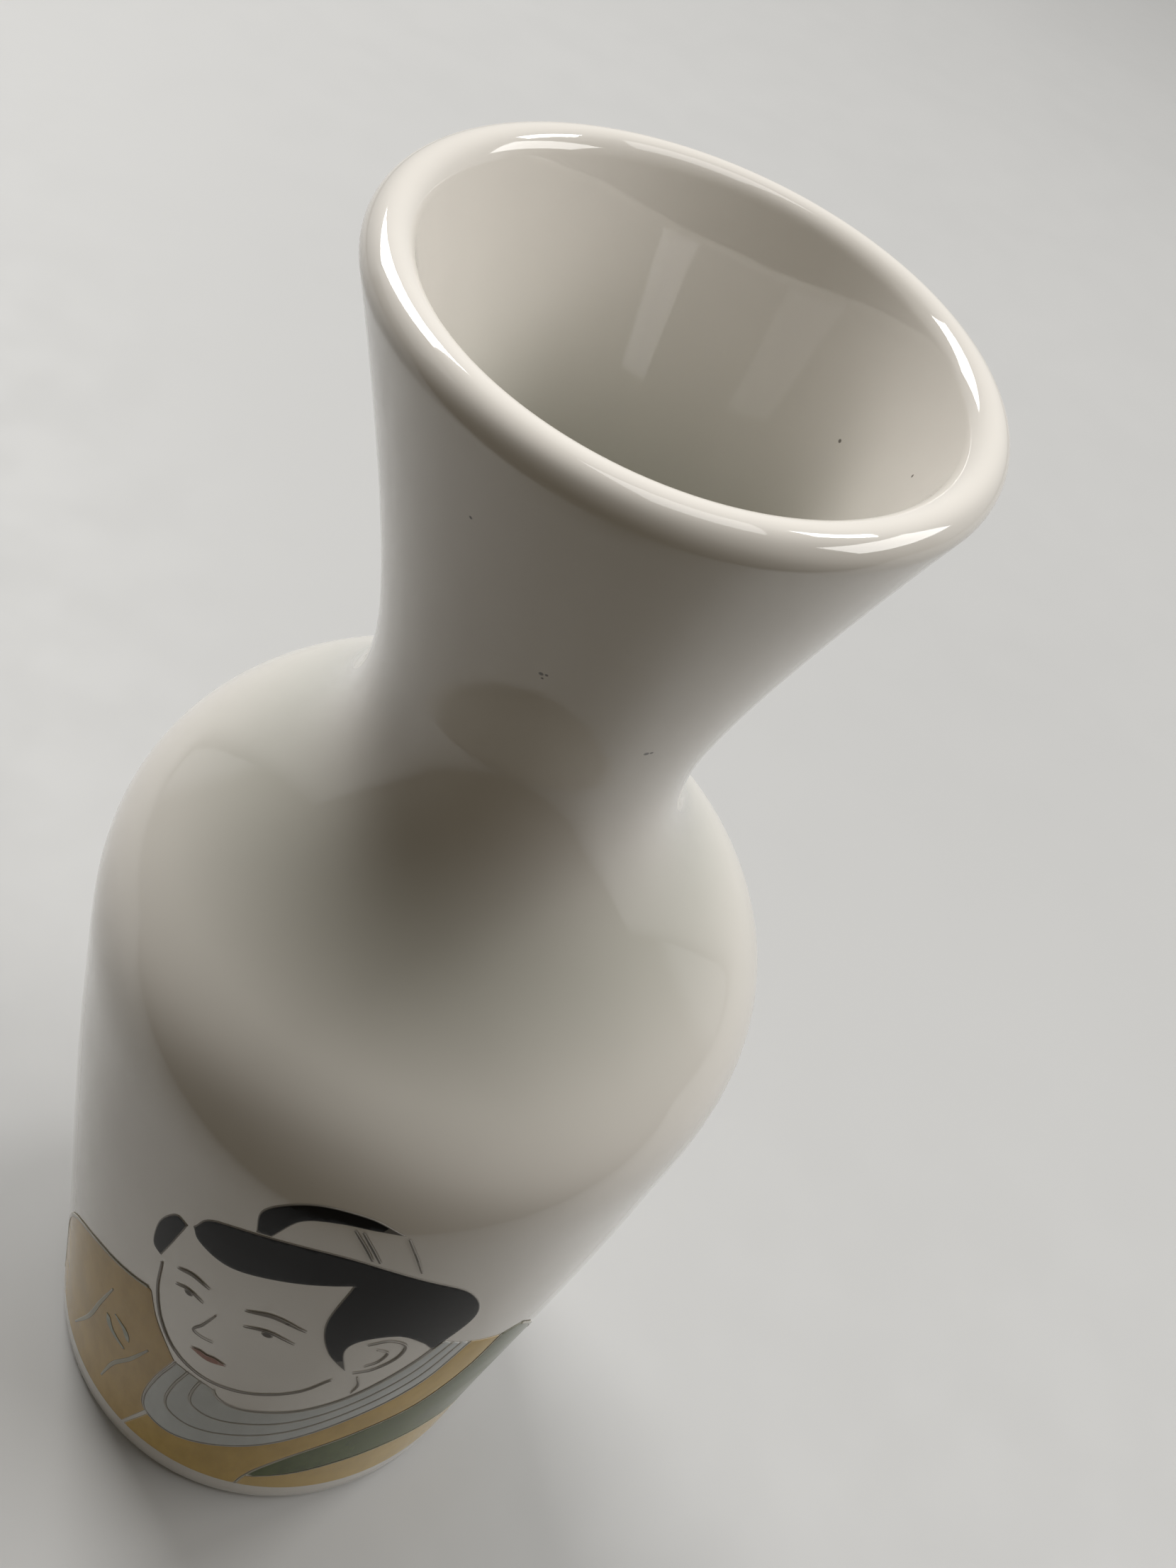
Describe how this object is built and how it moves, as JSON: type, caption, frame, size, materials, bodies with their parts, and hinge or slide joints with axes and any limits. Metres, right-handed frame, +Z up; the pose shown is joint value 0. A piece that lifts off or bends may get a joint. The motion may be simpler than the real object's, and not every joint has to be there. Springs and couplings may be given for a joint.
{
  "type": "sake bottle",
  "caption": "Glazed porcelain sake bottle with a narrow neck, a flared pouring mouth and an enamel picture on the front of the body.",
  "frame": {"origin": "centre of the foot ring's underside, on the surface that the bottle stands on", "axes": "+Z up along the bottle's axis, -Y towards the side with the picture, +X to the viewer's right of it"},
  "size_m": [0.062, 0.0622, 0.1589],
  "materials": {
    "biscuit": "matte, unglazed",
    "glaze": "glossy, clear glaze over white porcelain",
    "black_enamel": "glossy",
    "ink_enamel": "glossy",
    "lip_red_enamel": "glossy",
    "pale_blue_enamel": "glossy",
    "grey_enamel": "glossy",
    "ochre_enamel": "glossy",
    "robe_ochre_enamel": "glossy",
    "green_enamel": "glossy",
    "cream_enamel": "glossy",
    "olive_enamel": "glossy",
    "sage_enamel": "glossy"
  },
  "bodies": {
    "root": {"porcelain_body": "biscuit", "glaze_coat": "glaze", "foot_glaze": "glaze", "hair_cap": "black_enamel", "hair_side_bun": "black_enamel", "hair_top_knot": "black_enamel", "top_knot_tie_left": "black_enamel", "top_knot_tie_right": "black_enamel", "top_knot_cord": "black_enamel", "face_outline": "ink_enamel", "brow_left": "ink_enamel", "brow_right": "ink_enamel", "eye_left": "ink_enamel", "eye_right": "ink_enamel", "nose_line": "ink_enamel", "mouth": "lip_red_enamel", "ear_outline": "ink_enamel", "ear_inner_line": "ink_enamel", "neck_line": "ink_enamel", "collar_1": "pale_blue_enamel", "collar_2": "pale_blue_enamel", "collar_3": "pale_blue_enamel", "collar_line_1": "grey_enamel", "collar_line_2": "grey_enamel", "collar_line_3": "grey_enamel", "collar_line_4": "grey_enamel", "robe_facing": "ochre_enamel", "robe_green": "green_enamel", "robe_skirt": "cream_enamel", "robe_left": "robe_ochre_enamel", "robe_left_outline": "olive_enamel", "robe_fold_outer": "olive_enamel", "robe_fold_inner": "olive_enamel", "robe_motif_upper": "sage_enamel", "robe_motif_lower": "sage_enamel", "robe_green_outline": "olive_enamel", "robe_facing_line": "olive_enamel", "robe_green_hem_line": "olive_enamel"}
  },
  "joints": []
}
